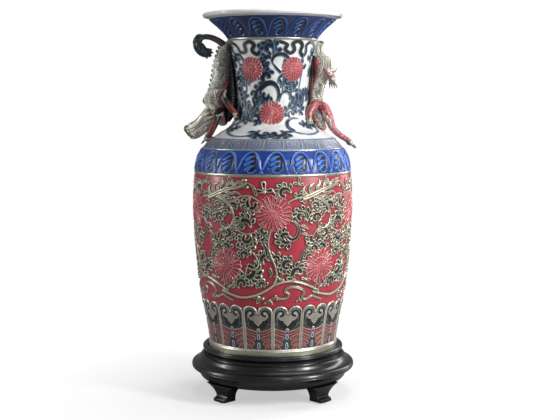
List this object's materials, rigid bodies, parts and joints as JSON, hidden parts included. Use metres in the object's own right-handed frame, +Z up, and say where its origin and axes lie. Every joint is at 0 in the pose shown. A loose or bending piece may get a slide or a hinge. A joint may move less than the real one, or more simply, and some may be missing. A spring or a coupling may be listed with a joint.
{
  "type": "vase with stand",
  "caption": "Tall baluster porcelain vase with relief-painted bands, dragon-shaped side handles and a flared mouth, lifting out of a turned black wooden stand on bracket feet.",
  "frame": {"origin": "on the vase's axis at the floor, under the middle of the stand", "axes": "+Z up along the vase's axis, +X towards the ascending dragon handle, the front faces -Y"},
  "size_m": [0.3635, 0.3444, 0.8002],
  "materials": {
    "painted_porcelain": "satin glaze over painted relief with silver lines",
    "red_porcelain": "satin glaze",
    "blue_porcelain": "satin glaze",
    "silvered_porcelain": "burnished silver lustre, darkened in the hollows",
    "black_lacquer_wood": "black satin lacquer",
    "dowel_wood": "bare beech",
    "felt": "black felt"
  },
  "bodies": {
    "stand": {"stand_plinth": "black_lacquer_wood", "stand_collar": "black_lacquer_wood", "stand_foot_front_right": "black_lacquer_wood", "stand_foot_rear_right": "black_lacquer_wood", "stand_foot_rear_left": "black_lacquer_wood", "stand_foot_front_left": "black_lacquer_wood", "foot_dowels": "dowel_wood", "foot_felt_pads": "felt", "seat_felt": "felt"},
    "vase": {"body_shell": "painted_porcelain", "shoulder_shell": "painted_porcelain", "neck_shell": "painted_porcelain", "mouth_shell": "painted_porcelain", "body_flowers_upper": "red_porcelain", "body_flowers_lower": "red_porcelain", "neck_flowers_upper": "red_porcelain", "neck_flowers_lower": "red_porcelain", "descending_torso": "silvered_porcelain", "descending_head": "silvered_porcelain", "descending_jaw": "silvered_porcelain", "descending_horns": "silvered_porcelain", "descending_tail": "red_porcelain", "descending_tuft": "blue_porcelain", "descending_crest": "silvered_porcelain", "descending_forelegs": "silvered_porcelain", "descending_hindlegs": "silvered_porcelain", "descending_claws": "silvered_porcelain", "ascending_torso": "silvered_porcelain", "ascending_head": "silvered_porcelain", "ascending_jaw": "silvered_porcelain", "ascending_horns": "silvered_porcelain", "ascending_tail": "red_porcelain", "ascending_tuft": "blue_porcelain", "ascending_crest": "silvered_porcelain", "ascending_forelegs": "silvered_porcelain", "ascending_hindlegs": "silvered_porcelain", "ascending_claws": "silvered_porcelain"}
  },
  "joints": [
    {"name": "vase_lift", "type": "slide", "parent": "stand", "child": "vase", "axis": [0, 0, 1], "range_m": [0, 0.06]}
  ]
}
